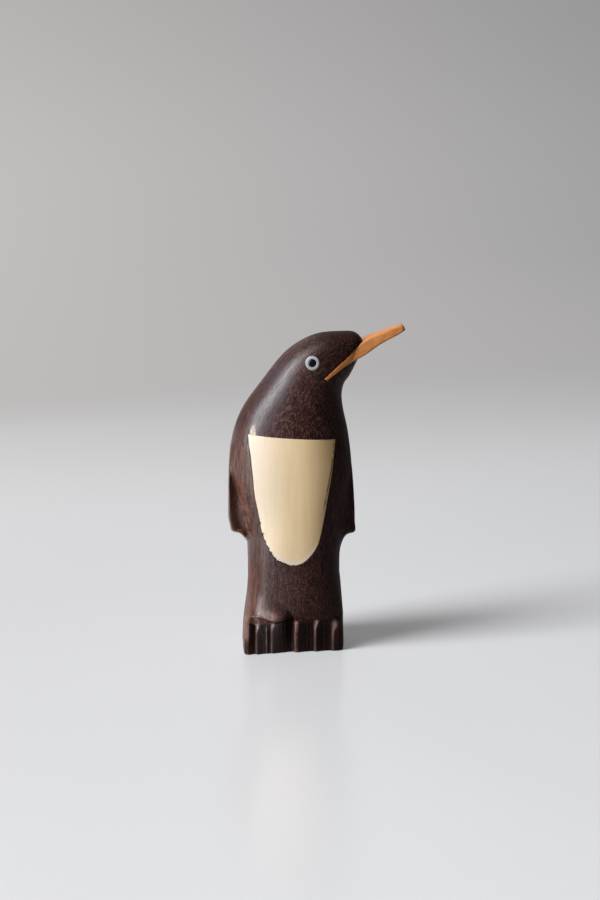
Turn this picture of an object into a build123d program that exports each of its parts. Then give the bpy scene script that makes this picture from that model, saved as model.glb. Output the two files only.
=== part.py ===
from build123d import *
import math
import os

# A carved wooden penguin: one block of dark wood, with a pale belly panel, a beak and ring eyes let in.
# Frame: +Z up, the belly faces -Y, the head turns to +X, and the origin is on the flat sole.
# Lengths are in millimetres.

# The block: trunk and head are one smooth form
crown_height = 90.1
shoulder_half_width = 18.0
belly_half_depth = 13.4

# Slices of the block from the sole to the face, each from a point of the nape side to one of the throat side.
# Columns: nape x, nape z, throat x, throat z, depth in front, depth behind, squareness of the oval.
# x is a share of shoulder_half_width, z of crown_height, and depth of belly_half_depth.
slice_shares = (
    (-0.810, 0.000, 0.806, 0.000, 0.80, 0.84, 4.4),
    (-0.784, 0.085, 0.790, 0.085, 0.82, 0.86, 4.2),
    (-0.755, 0.130, 0.773, 0.130, 0.92, 0.88, 3.7),
    (-0.731, 0.175, 0.757, 0.175, 0.95, 0.89, 3.2),
    (-0.722, 0.270, 0.739, 0.270, 0.97, 0.91, 2.8),
    (-0.780, 0.360, 0.772, 0.360, 0.99, 0.94, 2.5),
    (-0.900, 0.460, 0.866, 0.460, 1.00, 0.96, 2.4),
    (-1.000, 0.560, 0.922, 0.560, 0.985, 0.95, 2.4),
    (-0.983, 0.646, 0.889, 0.646, 0.945, 0.91, 2.3),
    (-0.922, 0.700, 0.847, 0.700, 0.905, 0.88, 2.3),
    (-0.778, 0.765, 0.794, 0.747, 0.865, 0.85, 2.3),
    (-0.578, 0.821, 0.764, 0.788, 0.82, 0.82, 2.3),
    (-0.361, 0.878, 0.767, 0.812, 0.78, 0.78, 2.3),
    (-0.111, 0.936, 0.806, 0.839, 0.73, 0.73, 2.3),
    (0.178, 0.977, 0.878, 0.859, 0.66, 0.66, 2.3),
    (0.478, 0.998, 0.944, 0.884, 0.57, 0.57, 2.3),
    (0.778, 1.000, 0.983, 0.900, 0.46, 0.46, 2.3),
    (0.983, 0.994, 1.017, 0.912, 0.34, 0.34, 2.3),
    (1.083, 0.973, 1.050, 0.922, 0.24, 0.24, 2.3),
)
half_slice_steps = 10

# Wings: flippers left standing proud of the flanks, hollowed by a gouge in front and behind
left_wing_reach = 18.6
right_wing_reach = 17.8
wing_root_drop = 28.1
wing_tip_height = 32.0
wing_depth = 12.4
wing_cove_drop = 5.0
# Outer edge, from root to tip: share of the reach, share of the way down the wing
left_wing_edge_shares = ((0.90, 0), (0.978, 0.23), (0.997, 0.52), (1, 0.79), (0.973, 0.93), (0.92, 0.99))
right_wing_edge_shares = ((0.86, 0), (0.918, 0.21), (0.965, 0.52), (0.993, 0.83), (1, 0.96), (0.965, 1.01))
# Front and back edges, from root to tip: share of half the depth, share of the way down the wing
wing_leaf_shares = ((0.05, 0), (0.55, 0.17), (0.86, 0.40), (1, 0.70), (0.94, 1))
wing_underside_share = 0.86
wing_waist_share = 0.70
wing_inside_share = 0.30
flute_radius = 2.4
flute_length = 18.0
# Middle of the gouge at the wing's tip, and where it has left the wood: shares of the reach and of wing_depth
flute_tip_shares = (0.83, 0.53)
flute_top_shares = (0.93, 0.81)

# Feet: a step in front of the trunk, its front a little askew, cut into toes
foot_left_reach = 15.2
foot_right_reach = 13.6
foot_left_front = 15.2
foot_right_front = 12.0
toe_height_left = 9.2
toe_height_right = 7.0
foot_rise = 5.4
foot_side_length = 21.0
foot_draft = 4.0
# Places of the cuts along the front, from its left end
toe_cut_shares = (0.09, 0.225, 0.285, 0.70, 0.875)
toe_cut_depth = 1.3
toe_bevel_run = 1.9
toe_wall_run = 0.7
foot_gap_share = 0.47
foot_gap_depth = 3.4
foot_gap_bevel_run = 2.8
foot_gap_wall_run = 1.5
foot_gap_height = 13.2

# Belly panel: a rounded U let into a pocket with a flat floor
panel_top_drop = 28.8
panel_bottom_height = 24.9
panel_half_width = 12.15
panel_offset = -0.7
panel_top_skew = 0.95
panel_depth = 6.6
panel_glue_gap = 0.08
# Half outline up from the bottom: share of the half width, share of the height
panel_side_shares = ((0.26, 0.027), (0.48, 0.107), (0.66, 0.243), (0.80, 0.467), (0.91, 0.705))

# Eyes: a ring and a plug in a blind hole drilled across the head, placed from the face and the crown
eye_setback = 14.4
eye_drop = 8.1
eye_ring_diameter = 3.9
eye_pupil_diameter = 2.25
eye_depth = 4.0
eye_clearance = 0.04

# Beak: a slip of wood, thin at its inner end, thickest at the face, in a slot sawn across the head
beak_slot_length = 12.9
beak_slot_angle = 37.5
beak_free_length = 13.6
beak_free_angle = 24.5
beak_inner_thickness = 0.7
beak_face_thickness = 3.5
beak_tip_thickness = 1.9
beak_face_width = 6.6
beak_tip_width = 3.0
beak_slot_clearance = 0.15

overrun = 3.0

# Heights above the sole of what is placed down from the crown
wing_root_height = crown_height - wing_root_drop
panel_top_height = crown_height - panel_top_drop
eye_height = crown_height - eye_drop


def slice_line(nape_x, nape_z, throat_x, throat_z):
    """The middle of a slice and its end at the throat."""
    nape = Vector(nape_x * shoulder_half_width, 0, nape_z * crown_height)
    throat = Vector(throat_x * shoulder_half_width, 0, throat_z * crown_height)
    return (nape + throat) / 2, throat


def slice_outline(nape_x, nape_z, throat_x, throat_z, front, behind, squareness):
    """Closed curve round one slice: a squared oval on the nape to throat line, its two halves splines."""
    middle, throat = slice_line(nape_x, nape_z, throat_x, throat_z)
    halves = []
    for first_turn, depth in ((0, behind), (math.pi, front)):
        points = []
        for step in range(half_slice_steps + 1):
            turn = first_turn + math.pi * step / half_slice_steps
            along = math.cos(turn)
            across = math.sin(turn)
            size = (abs(along) ** squareness + abs(across) ** squareness) ** (-1 / squareness)
            deep = Vector(0, belly_half_depth * depth * across * size, 0)
            points.append(middle + (throat - middle) * (along * size) + deep)
        outward = math.cos(first_turn)
        halves.append(Spline(*points, tangents=((0, outward, 0), (0, -outward, 0))))
    return Wire(halves)


def upright_prism(edges, half_depth):
    """Solid of an outline in the XZ plane, as deep in front of that plane as behind it."""
    return extrude(make_face(edges), amount=half_depth, dir=(0, 1, 0), both=True)


def wing(side, reach, edge_shares):
    """One flipper: its outer edge, a short underside and a cove that runs into the waist."""
    length = wing_root_height - wing_tip_height
    edge = [Vector(side * reach * out, 0, wing_root_height - length * down) for out, down in edge_shares]
    underside = Vector(side * reach * wing_underside_share, 0, wing_tip_height)
    waist = Vector(side * reach * wing_waist_share, 0, wing_tip_height - wing_cove_drop)
    inside_low = Vector(side * reach * wing_inside_share, 0, waist.Z)
    inside_high = Vector(inside_low.X, 0, wing_root_height)
    cove = Spline(underside, waist, tangents=((-side, 0, 0), (0, 0, -1)))
    inside = Polyline(waist, inside_low, inside_high, edge[0])
    slab = upright_prism([Spline(*edge), Line(edge[-1], underside), cove, inside], wing_depth / 2)
    return slab & wing_leaf(side, reach)


def wing_leaf(side, reach):
    """The flipper's outline seen from its side, carried across from the middle to past its edge."""
    length = wing_root_height - wing_tip_height
    half = wing_depth / 2
    front = [Vector(0, -half * deep, wing_root_height - length * down) for deep, down in wing_leaf_shares]
    back = [Vector(0, -point.Y, point.Z) for point in reversed(front)]
    lower = Vector(0, 0, -wing_cove_drop - overrun)
    below = Polyline(front[-1], front[-1] + lower, back[0] + lower, back[0])
    outline = make_face([Spline(*front), below, Spline(*back), Line(back[-1], front[0])])
    return extrude(outline, amount=reach + overrun, dir=(side, 0, 0))


def flute(side, face, reach):
    """The gouge's cut on one face of a wing, deepest at the tip and gone at flute_length above it."""
    low = Vector(side * reach * flute_tip_shares[0], face * wing_depth * flute_tip_shares[1], wing_tip_height)
    high = Vector(side * reach * flute_top_shares[0], face * wing_depth * flute_top_shares[1], 0)
    high.Z = wing_tip_height + flute_length
    run = high - low
    start = low - run.normalized() * overrun
    return Solid.make_cylinder(flute_radius, run.length + overrun, Plane(origin=start, z_dir=run))


def foot_front_point(share, inward=0):
    """A point of the feet's front line at the sole, or as far behind that line as asked."""
    left = Vector(-foot_left_reach, -foot_left_front, 0)
    right = Vector(foot_right_reach, -foot_right_front, 0)
    along = (right - left).normalized()
    return left + (right - left) * share + Vector(-along.Y, along.X, 0) * inward


def front_cut(share, depth, bevel_run, wall_run, height, lean):
    """A V cut in the front of the feet: a long bevel on its left, a steep wall on its right."""
    width_share = 1 / (foot_front_point(1) - foot_front_point(0)).length
    spread = 1 + overrun / depth
    root = foot_front_point(share, depth)
    bevel = foot_front_point(share - bevel_run * spread * width_share, depth - depth * spread)
    wall = foot_front_point(share + wall_run * spread * width_share, depth - depth * spread)
    face = make_face(Polyline(root, bevel, wall, close=True))
    return extrude(face, amount=height, dir=Vector(0, -lean, height).normalized(), both=True)


def feet():
    """The step in front of the trunk, with a sloping top and the cuts that part its toes."""
    left = foot_front_point(0)
    right = foot_front_point(1)
    trunk_half_width = shoulder_half_width * slice_shares[0][2]
    back_left = Vector(-trunk_half_width, left.Y + foot_side_length, 0)
    back_right = Vector(trunk_half_width, back_left.Y, 0)
    height = toe_height_left + foot_rise
    base = make_face(Polyline(left, right, back_right, back_left, close=True))
    block = extrude(base, amount=height, dir=(0, 0, 1), taper=foot_draft)
    top_left = left + Vector(0, 0, toe_height_left)
    top_right = right + Vector(0, 0, toe_height_right)
    top_back = back_left + Vector(0, 0, height)
    slope = Plane(origin=top_left, z_dir=(top_right - top_left).cross(top_back - top_left))
    block = block.split(slope, keep=Keep.BOTTOM)
    for share in toe_cut_shares:
        block -= front_cut(share, toe_cut_depth, toe_bevel_run, toe_wall_run, height + overrun, 0)
    return block


def block_blank():
    """The carved block before anything is let into it."""
    blank = Solid.make_loft([slice_outline(*shares) for shares in slice_shares])
    for side, reach, edge_shares in (
        (-1, left_wing_reach, left_wing_edge_shares),
        (1, right_wing_reach, right_wing_edge_shares),
    ):
        blank += wing(side, reach, edge_shares)
        blank -= [flute(side, face, reach) for face in (-1, 1)]
    blank += feet()
    blank -= front_cut(
        foot_gap_share, foot_gap_depth, foot_gap_bevel_run, foot_gap_wall_run, foot_gap_height, foot_gap_depth
    )
    return blank


def panel_prism(gap):
    """The belly panel's U outline carried back to the pocket's floor, larger all round by the gap."""
    bottom = panel_bottom_height - gap
    height = panel_top_height - panel_bottom_height + gap
    half_width = panel_half_width + gap
    right_side = [
        Vector(panel_offset + half_width * out, 0, bottom + height * up) for out, up in panel_side_shares
    ]
    left_side = [Vector(2 * panel_offset - point.X, 0, point.Z) for point in right_side]
    top_left = Vector(panel_offset - half_width, 0, panel_top_height + panel_top_skew + gap)
    top_right = Vector(panel_offset + half_width, 0, panel_top_height - panel_top_skew + gap)
    lowest = Vector(panel_offset, 0, bottom)
    side = Spline(top_left, *reversed(left_side), lowest, *right_side, top_right)
    face = make_face([side, Line(top_right, top_left)])
    floor = panel_depth - belly_half_depth
    return Pos(0, floor, 0) * extrude(face, amount=panel_depth + overrun, dir=(0, -1, 0))


def face_middle():
    """The middle of the last slice, where the beak leaves the head."""
    middle, throat = slice_line(*slice_shares[-1][:4])
    return middle


def eye_floor(side, blank):
    """The point at the bottom of an eye's hole, eye_depth under the head's surface on one side."""
    drill = Axis((face_middle().X - eye_setback, 0, eye_height), (0, side, 0))
    hits = [point for point, normal in blank.shell().find_intersection_points(drill)]
    surface = max(hits, key=lambda point: side * point.Y)
    return surface - Vector(0, side * eye_depth, 0)


def eye_plug(side, floor, diameter):
    """A round bar along the eye's drilling line, from the floor out past the head."""
    return Solid.make_cylinder(diameter / 2, eye_depth + overrun, Plane(origin=floor, z_dir=(0, side, 0)))


def beak_line():
    """The beak's middle line: inner end, face and tip, with the directions of its two runs."""
    slot = Vector(math.cos(math.radians(beak_slot_angle)), 0, math.sin(math.radians(beak_slot_angle)))
    free = Vector(math.cos(math.radians(beak_free_angle)), 0, math.sin(math.radians(beak_free_angle)))
    face = face_middle()
    return face - slot * beak_slot_length, face, face + free * beak_free_length, slot, free


def beak_edges():
    """Upper and lower corners of the beak's side profile at its inner end, face and tip."""
    inner, face, tip, slot, free = beak_line()
    corners = []
    for point, run, thickness in (
        (inner, slot, beak_inner_thickness),
        (face, (slot + free).normalized(), beak_face_thickness),
        (tip, free, beak_tip_thickness),
    ):
        up = Vector(-run.Z, 0, run.X) * (thickness / 2)
        corners.append((point + up, point - up))
    return corners


def beak_blank(blank):
    """The beak: flush with the cheeks in its slot, and tapering in width outside the face."""
    (inner_up, inner_low), (face_up, face_low), (tip_up, tip_low) = beak_edges()
    outline = Polyline(inner_low, face_low, tip_low, tip_up, face_up, inner_up, close=True)
    profile = upright_prism(outline, belly_half_depth)
    inner, face, tip, slot, free = beak_line()
    root = face - slot * beak_face_thickness
    corners = [(root.X, beak_face_width), (face.X, beak_face_width), (tip.X + overrun, beak_tip_width)]
    near = [Vector(x, -width / 2, 0) for x, width in corners]
    far = [Vector(x, width / 2, 0) for x, width in reversed(corners)]
    plan = make_face(Polyline(*near, *far, close=True))
    return profile & (blank + extrude(plan, amount=tip_up.Z + overrun, dir=(0, 0, 1)))


def beak_slot():
    """The saw slot: the beak rests on its lower wall, with a clearance at the end and above."""
    (inner_up, inner_low), (face_up, face_low), tip = beak_edges()
    upper = (face_up - inner_up).normalized()
    lower = (face_low - inner_low).normalized()
    lift = Vector(-upper.Z, 0, upper.X) * beak_slot_clearance
    back_low = inner_low - lower * beak_slot_clearance
    back_up = inner_up - upper * beak_slot_clearance + lift
    out_low = face_low + lower * overrun
    out_up = face_up + lift + upper * overrun
    return upright_prism(Polyline(back_low, out_low, out_up, back_up, close=True), belly_half_depth + overrun)


def build():
    """Every piece of the figurine by its node's name."""
    blank = block_blank()
    pieces = {"belly_inlay": blank & panel_prism(0), "beak": beak_blank(blank)}
    body = blank - panel_prism(panel_glue_gap) - beak_slot()
    for name, side in (("front", -1), ("back", 1)):
        floor = eye_floor(side, blank)
        body -= eye_plug(side, floor, eye_ring_diameter + 2 * eye_clearance)
        bore = eye_plug(side, floor, eye_pupil_diameter + 2 * eye_clearance)
        pieces[name + "_eye_ring"] = (eye_plug(side, floor, eye_ring_diameter) - bore) & blank
        pieces[name + "_eye_pupil"] = eye_plug(side, floor, eye_pupil_diameter) & blank
    pieces["carved_body"] = body
    return pieces


os.makedirs("parts", exist_ok=True)
for node, piece in build().items():
    export_step(piece, "parts/" + node + ".step")
    box = piece.bounding_box()
    print(node, "solids", len(piece.solids()), "volume", round(piece.volume, 1), "size", box.size)
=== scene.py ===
# %% [markdown]
# # A carved wooden penguin
#
# The figure is a small ornament: one block of dark hardwood, with a pale panel let into the belly, a slip
# of orange wood glued into a slot across the head, and two round eyes. This lesson rebuilds it around the
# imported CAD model, piece by piece, as surfaces worked out with numpy. The CAD model gives the frame: sizes
# come from its boxes, and every new piece stands for one of its nodes. Shapes are worked out in
# millimetres, because the whole figure is only nine centimetres tall, and turned into Blender's metres when
# a mesh is made.

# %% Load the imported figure
import math

import bpy
import numpy as np
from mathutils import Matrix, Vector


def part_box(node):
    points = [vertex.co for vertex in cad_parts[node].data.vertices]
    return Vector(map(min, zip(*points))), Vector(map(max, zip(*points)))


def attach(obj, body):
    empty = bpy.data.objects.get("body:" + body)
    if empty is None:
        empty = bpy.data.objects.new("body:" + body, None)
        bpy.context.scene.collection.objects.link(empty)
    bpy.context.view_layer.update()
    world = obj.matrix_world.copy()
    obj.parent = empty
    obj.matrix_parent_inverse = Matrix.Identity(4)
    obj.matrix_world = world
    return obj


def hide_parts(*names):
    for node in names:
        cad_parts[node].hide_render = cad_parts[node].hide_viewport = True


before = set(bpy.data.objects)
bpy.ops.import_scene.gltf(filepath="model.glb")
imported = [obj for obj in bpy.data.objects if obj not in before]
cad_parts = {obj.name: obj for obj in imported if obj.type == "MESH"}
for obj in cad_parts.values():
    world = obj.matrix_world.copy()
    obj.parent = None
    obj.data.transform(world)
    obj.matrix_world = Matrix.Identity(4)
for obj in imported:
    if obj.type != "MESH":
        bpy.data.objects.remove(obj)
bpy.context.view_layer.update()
MILLIMETRE = 0.001


def box_of(node):
    """Lowest and highest corner of a CAD node, in millimetres."""
    low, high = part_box(node)
    return np.array(low) / MILLIMETRE, np.array(high) / MILLIMETRE


body_high = box_of("carved_body")[1]
crown_height = body_high[2]
shoulder_half_width = 0.1998 * crown_height
belly_half_depth = 0.1487 * crown_height
print("nodes", sorted(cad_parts), "crown height", round(crown_height, 2), "mm")

# %% [markdown]
# ## Tools for curves and skins
#
# Nearly every form here is a smooth curve through a few chosen points. A natural cubic spline is the
# draughtsman's bent lath: it passes through every point with the least bending, and one small linear system
# gives it. A skin is a stack of closed rings, joined ring to ring with four-sided faces and closed with a
# fan at each end.


# %% Curves and steps
def lath(knots, values, at):
    """Natural cubic spline: the bending at the knots solves a three-band system, and between two knots the
    value is the straight blend of its neighbours plus the cubic that the two bendings ask for."""
    gap = np.diff(knots)
    count = len(knots)
    inner = np.arange(1, count - 1)
    system = np.eye(count)
    system[inner, inner - 1] = gap[:-1]
    system[inner, inner] = 2 * (gap[:-1] + gap[1:])
    system[inner, inner + 1] = gap[1:]
    pull = np.zeros(values.shape)
    pull[1:-1] = 6 * np.diff(np.diff(values, axis=0) / gap[:, None], axis=0)
    bend = np.linalg.solve(system, pull)
    cell = np.clip(np.searchsorted(knots, at) - 1, 0, count - 2)
    width = gap[cell][..., None]
    past = (at - knots[cell])[..., None]
    left = width - past
    cubic = (bend[cell] * left**3 + bend[cell + 1] * past**3) / (6 * width)
    start = (values[cell] / width - bend[cell] * width / 6) * left
    end = (values[cell + 1] / width - bend[cell + 1] * width / 6) * past
    return cubic + start + end


def step_lengths(points):
    """Length of each step along a line of points."""
    return np.linalg.norm(np.diff(points, axis=0), axis=1)


def running_sum(steps):
    """Zero, then the sum of the steps so far."""
    return np.concatenate(([0], np.cumsum(steps)))


def lath_through(points, count):
    """A lath through plain points, with knots at their distances along the line, sampled evenly."""
    knots = running_sum(step_lengths(points))
    return lath(knots, points, np.linspace(0, knots[-1], count))


def soft_step(low, high, at):
    """0 before low, 1 after high, and the cubic 3t^2 - 2t^3 between them."""
    t = np.clip((at - low) / (high - low), 0, 1)
    return t * t * (3 - 2 * t)


def hump(middle, spread, at):
    """Bell curve exp(-t^2), where t is the distance from the middle in spreads."""
    return np.exp(-(((at - middle) / spread) ** 2))


def chart(points, at):
    """Second column of a table of points, read by its first with straight lines between them."""
    return np.interp(at, points[:, 0], points[:, 1])


straight = np.arange(3.0)
print("lath check, 1.5 along a straight line:", lath(straight, straight[:, None], np.array([1.5])))


# %% Skins from rings
def ring_faces(rings, columns):
    """Corners of every cell of a grid whose columns close on themselves, and the fans of its two ends."""
    index = np.arange(rings * columns).reshape(rings, columns)
    beside = np.roll(index, -1, axis=1)
    quads = np.stack((index[:-1], beside[:-1], beside[1:], index[1:]), axis=-1).reshape(-1, 4)
    first = np.stack((beside[0], index[0], np.full(columns, rings * columns)), axis=-1)
    last = np.stack((index[-1], beside[-1], np.full(columns, rings * columns + 1)), axis=-1)
    return quads, np.concatenate((first, last))


def mesh_from(name, points, quads, triangles):
    """A mesh in metres. Its faces turn outwards: the sign of the skin's volume says which way they are."""
    first, second, third = (points[triangles[:, k]] for k in range(3))
    volume = np.einsum("ij,ij->", first, np.cross(second, third)) / 6
    for a, b, c in ((0, 1, 2), (0, 2, 3)):
        corners = [points[quads[:, k]] for k in (a, b, c)]
        volume += np.einsum("ij,ij->", corners[0], np.cross(corners[1], corners[2])) / 6
    if volume < 0:
        quads = quads[:, ::-1]
        triangles = triangles[:, ::-1]
    mesh = bpy.data.meshes.new(name)
    mesh.from_pydata((points * MILLIMETRE).tolist(), [], quads.tolist() + triangles.tolist())
    mesh.update()
    print(name, "points", len(points), "faces", len(mesh.polygons), "volume", round(abs(volume), 1), "mm3")
    return mesh


def skin(name, rings):
    """A closed skin over a stack of rings, an array of ring by column by xyz in millimetres."""
    count, columns, _ = rings.shape
    quads, fans = ring_faces(count, columns)
    middles = np.stack((rings[0].mean(axis=0), rings[-1].mean(axis=0)))
    return mesh_from(name, np.concatenate((rings.reshape(-1, 3), middles)), quads, fans)


def shade(mesh, sharp_degrees):
    """Smooth shading, with a crease at every edge that bends more than the angle."""
    mesh.shade_smooth()
    mesh.set_sharp_from_angle(angle=math.radians(sharp_degrees))


def keep_on_points(mesh, name, values):
    """Keeps one number on each point of a mesh, for its material to read."""
    kept = mesh.attributes.new(name, "FLOAT", "POINT")
    kept.data.foreach_set("value", values.astype(np.float32))


def add_object(name, data):
    """A new object in the scene, at the origin and unturned."""
    added = bpy.data.objects.new(name, data)
    bpy.context.scene.collection.objects.link(added)
    return added


def place(name, mesh, node):
    """Puts a mesh in the scene as the piece that stands for a CAD node."""
    piece = add_object(name, mesh)
    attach(piece, "root")
    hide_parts(node)
    return piece


# %% [markdown]
# ## The block: head and trunk
#
# The carver starts from a squared stick and rounds it over. The trunk is cut by level slices, and from the
# shoulders up the slices swing round with the neck until the last one stands upright at the face, so one
# stack of slices gives both. A slice is a squared oval: its two ends lie on the nape and on the throat, and
# it has its own depth towards the front and the back. Near the sole it is almost a rectangle, at the chest
# almost an ellipse. The nape and throat ends are the outline that the photograph shows, so they are the
# numbers to trust.

# %% Slices of the block
# Nape x and z, throat x and z, depth to the front and to the back, squareness. The x are shares of the
# shoulder half-width, the z of the crown's height, the depths of the belly's half-depth.
slice_shares = np.array((
    (-0.810, 0.000, 0.806, 0.000, 0.80, 0.84, 4.4),
    (-0.784, 0.085, 0.790, 0.085, 0.82, 0.86, 4.2),
    (-0.755, 0.130, 0.773, 0.130, 0.92, 0.88, 3.7),
    (-0.731, 0.175, 0.757, 0.175, 0.95, 0.89, 3.2),
    (-0.722, 0.270, 0.730, 0.270, 0.97, 0.91, 2.8),
    (-0.757, 0.360, 0.772, 0.360, 0.99, 0.94, 2.5),
    (-0.900, 0.460, 0.866, 0.460, 1.00, 0.96, 2.4),
    (-1.000, 0.560, 0.922, 0.560, 0.985, 0.95, 2.4),
    (-0.983, 0.646, 0.889, 0.646, 0.945, 0.91, 2.3),
    (-0.922, 0.700, 0.847, 0.700, 0.905, 0.88, 2.3),
    (-0.778, 0.765, 0.794, 0.747, 0.865, 0.85, 2.3),
    (-0.578, 0.821, 0.764, 0.788, 0.82, 0.82, 2.3),
    (-0.361, 0.878, 0.767, 0.812, 0.78, 0.78, 2.3),
    (-0.111, 0.936, 0.806, 0.839, 0.735, 0.735, 2.3),
    (0.178, 0.975, 0.878, 0.859, 0.67, 0.67, 2.3),
    (0.478, 0.9945, 0.944, 0.884, 0.59, 0.59, 2.4),
    (0.778, 0.998, 0.983, 0.900, 0.50, 0.50, 2.4),
    (0.988, 0.9935, 1.014, 0.912, 0.40, 0.40, 2.4),
    (1.092, 0.972, 1.046, 0.922, 0.31, 0.31, 2.4),
))
end_units = (shoulder_half_width, crown_height)
slice_values = slice_shares * (*end_units, *end_units, belly_half_depth, belly_half_depth, 1)
nape_steps = step_lengths(slice_values[:, 0:2])
throat_steps = step_lengths(slice_values[:, 2:4])
slice_knots = running_sum((nape_steps + throat_steps) / 2)


def slice_at(rise):
    """The seven numbers of the slice at a distance up the block, by a lath through the chosen slices."""
    return lath(slice_knots, slice_values, np.asarray(rise, float))


def oval(turn, squareness):
    """Point of the squared oval |c|^n + |s|^n = 1 at an angle, along its width and across it."""
    c = np.cos(turn)
    s = np.sin(turn)
    size = (np.abs(c) ** squareness + np.abs(s) ** squareness) ** (-1 / squareness)
    return c * size, s * size


def block_surface(rise, turn):
    """Point = middle of the slice + half its width times the oval's along, and its depth times across."""
    nape_x, nape_z, throat_x, throat_z, front, back, squareness = np.moveaxis(slice_at(rise), -1, 0)
    along, across = oval(turn, squareness)
    x = (nape_x + throat_x) / 2 + (throat_x - nape_x) / 2 * along
    z = (nape_z + throat_z) / 2 + (throat_z - nape_z) / 2 * along
    y = np.where(across < 0, front, back) * across
    return np.stack(np.broadcast_arrays(x, y, z), axis=-1)


print("slices", len(slice_knots), "rise from sole to face", round(slice_knots[-1], 1), "mm")


# %% Where the block's front is
halvings = 40


def front_of_block(x, z):
    """Depth of the block's camera side at a place seen from the front. Halving finds the slice whose line
    from nape to throat passes through the place; the oval of that slice then gives the depth."""
    low = np.zeros(np.shape(x))
    high = np.full(np.shape(x), slice_knots[-1])
    for _ in range(halvings):
        middle = (low + high) / 2
        nape_x, nape_z, throat_x, throat_z = np.moveaxis(slice_at(middle)[..., :4], -1, 0)
        above = (throat_x - nape_x) * (z - nape_z) - (throat_z - nape_z) * (x - nape_x) > 0
        low = np.where(above, middle, low)
        high = np.where(above, high, middle)
    nape_x, nape_z, throat_x, throat_z, front, _, squareness = np.moveaxis(slice_at(low), -1, 0)
    half_x = (throat_x - nape_x) / 2
    half_z = (throat_z - nape_z) / 2
    reach = (x - nape_x - half_x) * half_x + (z - nape_z - half_z) * half_z
    along = np.clip(np.abs(reach) / (half_x**2 + half_z**2), 0, 1)
    return -front * (1 - along**squareness) ** (1 / squareness)


print("belly front at mid height", front_of_block(np.array([0.0]), np.array([45.0])).round(2), "mm")

# %% [markdown]
# ## The grid of the block
#
# The grid must be fine where the knife worked and may be coarse where sandpaper did. Rows crowd at the toes
# and under the wing tips. Columns crowd at the toes and along the grooves beside the wings: a density is
# chosen over the angle, summed up, and read backwards, which spaces the columns by that density.

# %% Rows and columns
ankle_rise = 15.0
row_zones = (  # up to this rise, this many rows
    (0.3, 3),
    (7.0, 16),
    (11.0, 44),
    (ankle_rise, 16),
    (29.0, 22),
    (31.0, 10),
    (35.0, 44),
    (52.0, 32),
    (64.0, 12),
    (slice_knots[-1], 52),
)
row_rises = [np.zeros(1)]
for top, count in row_zones:
    row_rises.append(np.linspace(row_rises[-1][-1], top, count + 1)[1:])
rise = np.concatenate(row_rises)[:, None]

column_count = 380
turn_samples = np.linspace(0, 2 * math.pi, 4001)
toe_sector = soft_step(-0.62, -0.72, np.sin(turn_samples))
groove_turn = 0.36
groove_spread = 0.14
turn_from_side = np.abs(np.angle(np.exp(2j * turn_samples)) / 2)
groove_sector = hump(groove_turn, groove_spread, turn_from_side)
toe_crowding = 2.2
groove_crowding = 2.4
column_density = 1 + toe_crowding * toe_sector + groove_crowding * groove_sector
column_sum = running_sum((column_density[1:] + column_density[:-1]) / 2)
turn = np.interp(np.arange(column_count) / column_count, column_sum / column_sum[-1], turn_samples)[None, :]

block = block_surface(rise, turn)
level = block[..., 2]
print("grid", block.shape)

# %% [markdown]
# ## The wings
#
# Each wing is a long leaf left standing along the side of the trunk. It grows out of the shoulder, ends in
# a point above the hip, and is undercut there by a hollow. A flute runs beside it: the knife pushed the
# flank in and left the leaf's rim standing forward, so the wall between rim and flute turns away from the
# window and goes dark. That is a displacement of the block's grid with two parts, sideways and forwards,
# because a rim that leans over its flute can't be a height over the surface.

# %% Outline of the wings
# Reach from the middle line and height, from the hip up to the shoulder, in shares of the crown's height.
left_wing_shares = (
    (0.1425, 0.290), (0.144, 0.315), (0.1462, 0.328), (0.1545, 0.340), (0.166, 0.353), (0.178, 0.3596),
    (0.189, 0.3621), (0.1972, 0.367), (0.201, 0.380), (0.205, 0.398), (0.207, 0.425), (0.2065, 0.470),
    (0.206, 0.515), (0.205, 0.560), (0.2019, 0.611), (0.1963, 0.650), (0.1879, 0.688),
)
right_wing_shares = (
    (0.1478, 0.265), (0.1482, 0.285), (0.150, 0.300), (0.1555, 0.3222), (0.1612, 0.3356), (0.169, 0.3461),
    (0.179, 0.3516), (0.192, 0.3548), (0.1975, 0.3595), (0.1981, 0.373), (0.1962, 0.413), (0.194, 0.464),
    (0.1907, 0.516), (0.1866, 0.568), (0.1814, 0.619), (0.1748, 0.6715), (0.169, 0.710),
)
wing_top = 0.66 * crown_height
# Height, and half the leaf's width there.
leaf_widths = np.array(((0.0, 3.0), (31.0, 5.2), (40.0, 5.7), (48.0, 4.8), (56.0, 3.4), (95.0, 2.4)))
leaf_half_width = chart(leaf_widths, level)
leaf_place = np.abs(block[..., 1]) / leaf_half_width
rim_lift = 1.65
wing_level = level - rim_lift * np.minimum(leaf_place, 1.1) ** 2
print("leaf half-width", leaf_half_width.min().round(2), "to", leaf_half_width.max().round(2), "mm")


def wing_reach(shares):
    """Reach of a wing's outline at each point's height: a lath through the chosen points, read by height.
    The rim of the leaf ends higher than its middle, so its points look up a lower place on the outline."""
    curve = lath_through(np.array(shares) * crown_height, 900)
    order = np.argsort(curve[:, 1])
    return np.interp(wing_level, curve[order, 1], curve[order, 0])


# %% Section of a wing, from its middle round the rim into the flute
# Place across the leaf in shares of its half-width; then how far the surface goes from the block's side to
# the wing's outline there, and its push forwards in shares of the rim's height (negative in the flute).
wing_section_shares = np.array((
    (0.00, 1.00, 0.00), (0.45, 1.00, 0.10), (0.75, 1.00, 0.55), (0.93, 0.99, 1.00), (1.02, 0.86, 0.72),
    (1.12, 0.62, -0.15), (1.23, 0.42, -0.80), (1.42, 0.16, -0.78), (1.65, 0.00, -0.40), (2.20, 0.00, 0.00),
    (9.00, 0.00, 0.00),
))
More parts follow.
